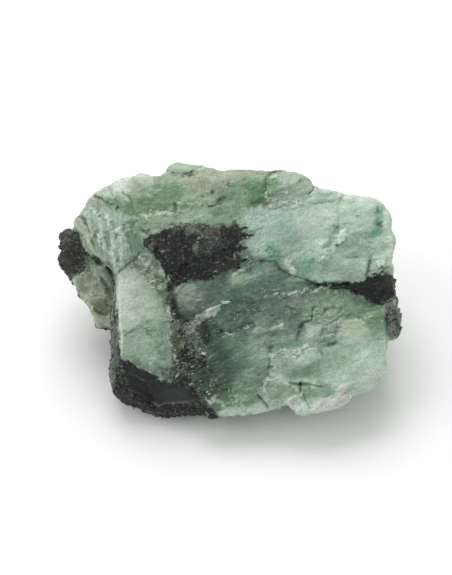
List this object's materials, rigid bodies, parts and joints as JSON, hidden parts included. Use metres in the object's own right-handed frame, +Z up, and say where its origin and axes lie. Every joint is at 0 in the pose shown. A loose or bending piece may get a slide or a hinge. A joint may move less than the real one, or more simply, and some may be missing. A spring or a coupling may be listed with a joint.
{
  "type": "raw emerald crystal",
  "caption": "Broken chunk of milky green emerald in dark mica schist, with a broad slanting crystal face, a schist knob at one side and a flat underside to rest on.",
  "frame": {"origin": "centre of the bounding box's bottom, on the flat underside that the stone rests on", "axes": "+Z up; +X along the stone's longest side; the broad crystal face looks towards -Y and upwards"},
  "size_m": [0.0633, 0.0471, 0.0338],
  "materials": {
    "emerald": "milky translucent green beryl with fine streaks and pale chips, and black granular mica schist in patches"
  },
  "bodies": {
    "root": {"emerald_crystal": "emerald"}
  },
  "joints": []
}
